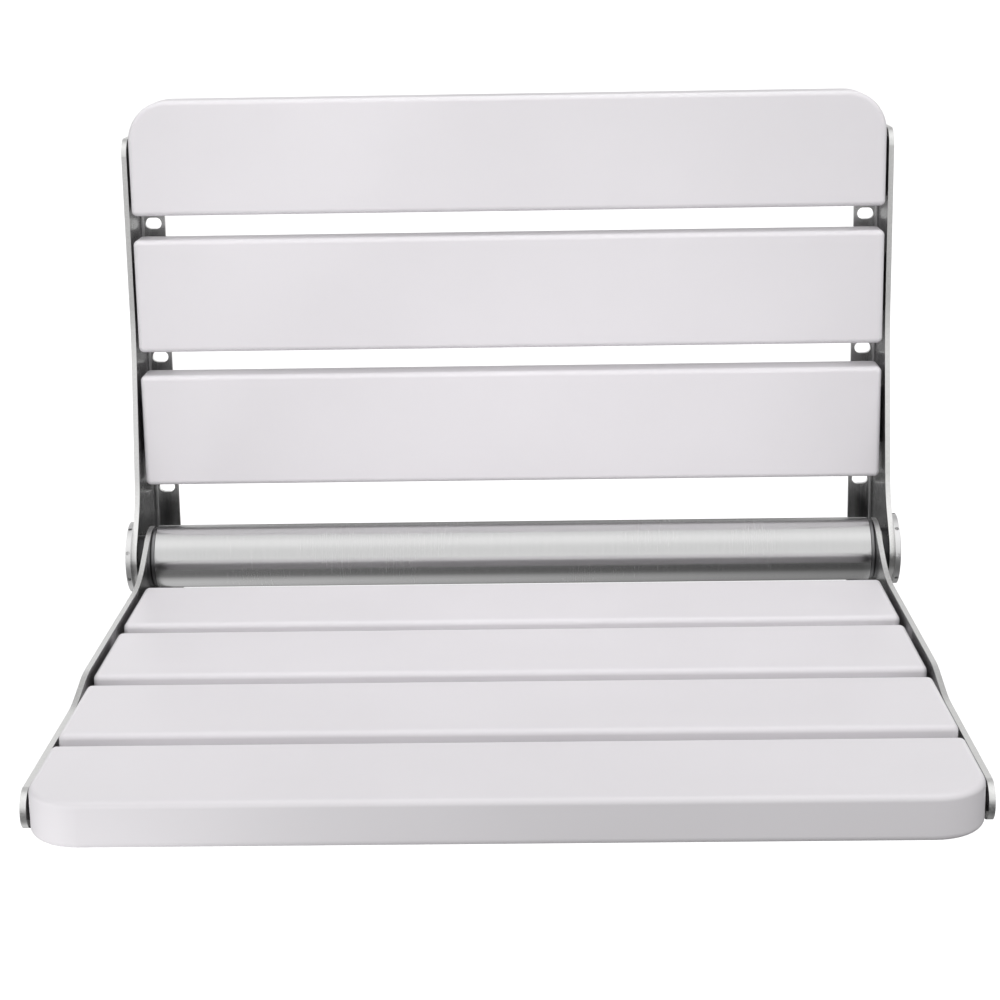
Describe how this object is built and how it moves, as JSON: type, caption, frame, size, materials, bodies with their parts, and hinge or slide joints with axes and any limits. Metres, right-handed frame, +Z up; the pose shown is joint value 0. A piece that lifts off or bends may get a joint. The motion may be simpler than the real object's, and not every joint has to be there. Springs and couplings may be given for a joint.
{
  "type": "fold down wall seat",
  "caption": "Wall-hung fold down seat with slatted seat and slatted fixed back, steel side brackets, seat arms and a cross tube on the hinge line.",
  "frame": {"origin": "on the wall plane, at the centre of the six wall fixing slots", "axes": "+X to the right of someone facing the wall, +Y into the wall, +Z up; the seat reaches out along -Y"},
  "size_m": [0.471, 0.4305, 0.338],
  "materials": {
    "slat_plastic": "satin white, fine moulded grain",
    "bracket_steel": "vertically brushed stainless",
    "arm_steel": "stainless brushed along the arm",
    "tube_steel": "satin stainless tube, brushed round",
    "plug_steel": "turned stainless",
    "cap_steel": "polished stainless dome",
    "screw_steel": "bright stainless",
    "pin_steel": "turned stainless",
    "bush_plastic": "black acetal",
    "buffer_rubber": "moulded rubber"
  },
  "bodies": {
    "wall_frame": {"back_slat_bottom": "slat_plastic", "back_slat_middle": "slat_plastic", "back_slat_screws": "screw_steel", "back_slat_top": "slat_plastic", "cap_screws_left": "screw_steel", "cap_screws_right": "screw_steel", "hinge_bush_left": "bush_plastic", "hinge_bush_right": "bush_plastic", "hinge_cap_left": "cap_steel", "hinge_cap_right": "cap_steel", "slat_clip_bottom_left": "bracket_steel", "slat_clip_bottom_right": "bracket_steel", "slat_clip_middle_left": "bracket_steel", "slat_clip_middle_right": "bracket_steel", "slat_clip_top_left": "bracket_steel", "slat_clip_top_right": "bracket_steel", "stop_buffer_left": "buffer_rubber", "stop_buffer_right": "buffer_rubber", "wall_bracket_left": "bracket_steel", "wall_bracket_right": "bracket_steel"},
    "seat": {"cross_tube": "tube_steel", "friction_disc_left": "pin_steel", "friction_disc_right": "pin_steel", "hub_screws": "screw_steel", "pivot_pin_left": "pin_steel", "pivot_pin_right": "pin_steel", "seat_arm_left": "arm_steel", "seat_arm_right": "arm_steel", "seat_slat_front": "slat_plastic", "seat_slat_middle_front": "slat_plastic", "seat_slat_middle_rear": "slat_plastic", "seat_slat_rear": "slat_plastic", "seat_slat_screws": "screw_steel", "thrust_washer_left": "pin_steel", "thrust_washer_right": "pin_steel", "tube_plug_left": "plug_steel", "tube_plug_right": "plug_steel"}
  },
  "joints": [
    {"name": "seat_fold", "type": "hinge", "parent": "wall_frame", "child": "seat", "pos_m": [0, -0.0595, -0.1135], "axis": [-1, 0, 0], "range_deg": [0, 90]}
  ]
}
